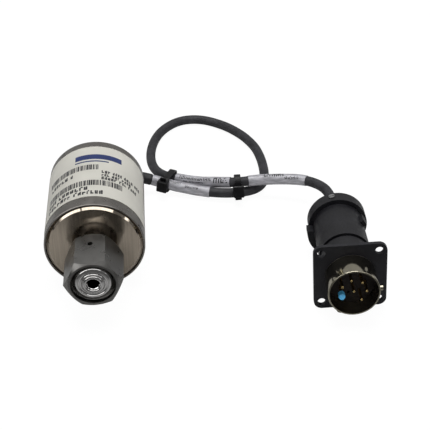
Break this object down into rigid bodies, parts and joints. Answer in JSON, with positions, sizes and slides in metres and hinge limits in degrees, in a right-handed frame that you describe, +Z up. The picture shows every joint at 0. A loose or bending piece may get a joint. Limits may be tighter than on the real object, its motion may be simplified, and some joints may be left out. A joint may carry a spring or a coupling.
{
  "type": "vacuum pressure switch",
  "caption": "Round steel pressure switch with a face seal port and hexagon nut, on a looped cable that ends in a round bayonet connector with a square flange.",
  "frame": {"origin": "on the floor under the middle of the switch, without its cable and connector", "axes": "+Y along the can from the port to the cable, +X across it towards the connector, +Z up"},
  "size_m": [0.1277, 0.1537, 0.0383],
  "materials": {
    "stainless_can": "satin drawn tube",
    "label_film": "matt printed film",
    "stainless_plate": "fine turned and polished",
    "stainless_nut": "smooth machined",
    "stainless_gland": "polished sealing face",
    "cell_alloy": "machined nickel alloy",
    "cell_ceramic": "fired ceramic",
    "glass_seal": "sealing glass",
    "copper_tube": "soft copper",
    "board_laminate": "green laminate",
    "component_black": "moulded",
    "component_blue": "moulded",
    "screw_steel": "machined",
    "plug_rubber": "soft",
    "cable_jacket": "satin jacket",
    "boot_black": "shrunk sleeve",
    "sleeve_clear": "printed sleeve under clear film",
    "tie_black": "moulded nylon",
    "shell_black": "black finish on aluminium",
    "contact_gold": "gold plated",
    "insert_dark": "moulded insert",
    "cap_blue": "soft cap",
    "wire_insulation": "insulated leads"
  },
  "bodies": {
    "sensor": {"case_tube": "stainless_can", "label": "label_film", "front_plate": "stainless_plate", "gland": "stainless_gland", "inlet_baffle": "cell_alloy", "cell_ring": "cell_alloy", "diaphragm": "cell_alloy", "electrode_disc": "cell_ceramic", "ring_spring": "cell_alloy", "reference_cover": "cell_alloy", "pinch_tube": "copper_tube", "glass_beads": "glass_seal", "feedthrough_pins": "contact_gold", "signal_board": "board_laminate", "relay_board": "board_laminate", "board_posts": "screw_steel", "post_studs": "screw_steel", "relay": "component_black", "trimmers": "component_blue", "capacitors": "component_black", "chips": "component_black", "rear_cap": "stainless_plate", "cap_screws": "screw_steel", "adjuster_plugs": "plug_rubber", "receptacle_shell": "shell_black", "pin_insert": "insert_dark", "contact_pins": "contact_gold", "blue_pin_cap": "cap_blue", "ring_nut": "shell_black", "backshell_body": "shell_black", "clamp_upper": "shell_black", "clamp_lower": "shell_black", "clamp_screw": "screw_steel", "rear_grommet": "insert_dark", "connector_leads": "wire_insulation", "cable": "cable_jacket", "strain_relief": "boot_black", "cable_boot": "boot_black", "marker_sleeve_near": "sleeve_clear", "marker_sleeve_middle": "sleeve_clear", "marker_sleeve_far": "sleeve_clear", "cable_tie_left": "tie_black", "cable_tie_right": "tie_black", "lead_wires": "wire_insulation"},
    "coupling_nut": {"coupling_nut": "stainless_nut"}
  },
  "joints": [
    {"name": "coupling_nut_turn", "type": "hinge", "parent": "sensor", "child": "coupling_nut", "pos_m": [0, -0.03388, 0.01905], "axis": [0, 1, 0], "continuous": true}
  ]
}
